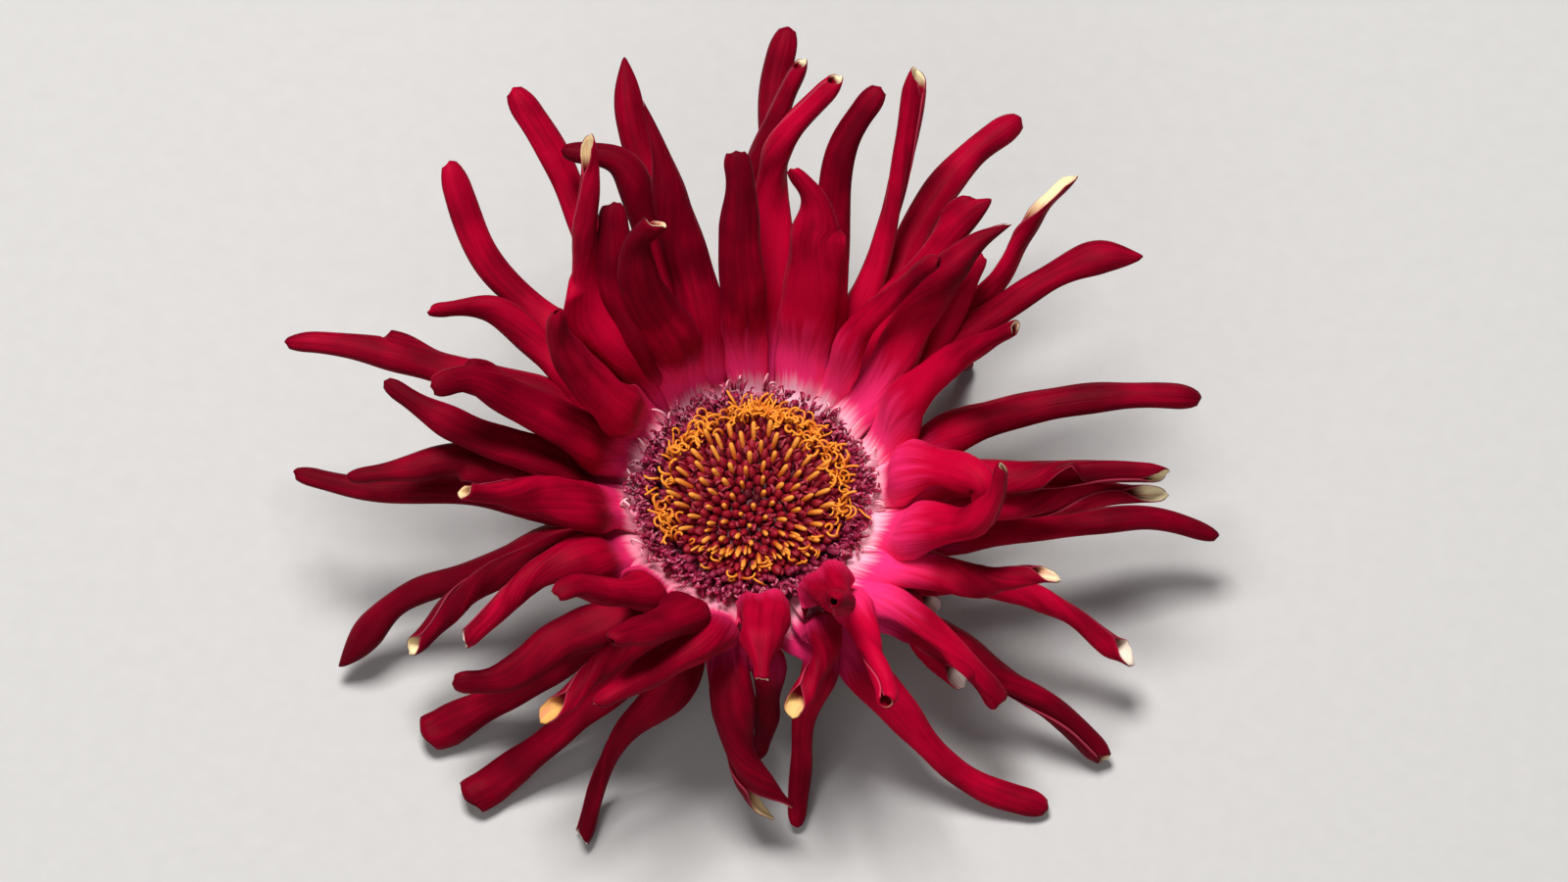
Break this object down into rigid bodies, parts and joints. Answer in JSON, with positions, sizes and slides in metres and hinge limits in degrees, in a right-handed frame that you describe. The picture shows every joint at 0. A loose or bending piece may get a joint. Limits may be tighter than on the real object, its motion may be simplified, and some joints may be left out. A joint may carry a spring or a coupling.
{
  "type": "spider gerbera flower head",
  "caption": "Picked spider gerbera bloom lying face up: crimson rays rolled into quills around a dark red and orange disc, on a short cut stem.",
  "frame": {"origin": "centre of the flat cut end of the stem stub, on the flower's axis", "axes": "+Z along the flower's axis, up out of its face; -Y towards the side whose rays rise steepest round the disc"},
  "size_m": [0.12, 0.0989, 0.0559],
  "materials": {
    "stem": "matt pale green skin with fine hairs",
    "bract": "matt green, felted with pale hairs",
    "petal": "velvety crimson, pink-white at the base, cream on the reverse",
    "outer_floret": "matt purple with pale specks",
    "opened_floret": "soft orange-yellow threads",
    "disc_floret": "dark red tubes with orange tips"
  },
  "bodies": {
    "root": {"stem_receptacle": "stem", "involucre_bracts": "bract", "ray_florets": "petal", "outer_florets": "outer_floret", "opened_florets": "opened_floret", "disc_florets": "disc_floret"}
  },
  "joints": []
}
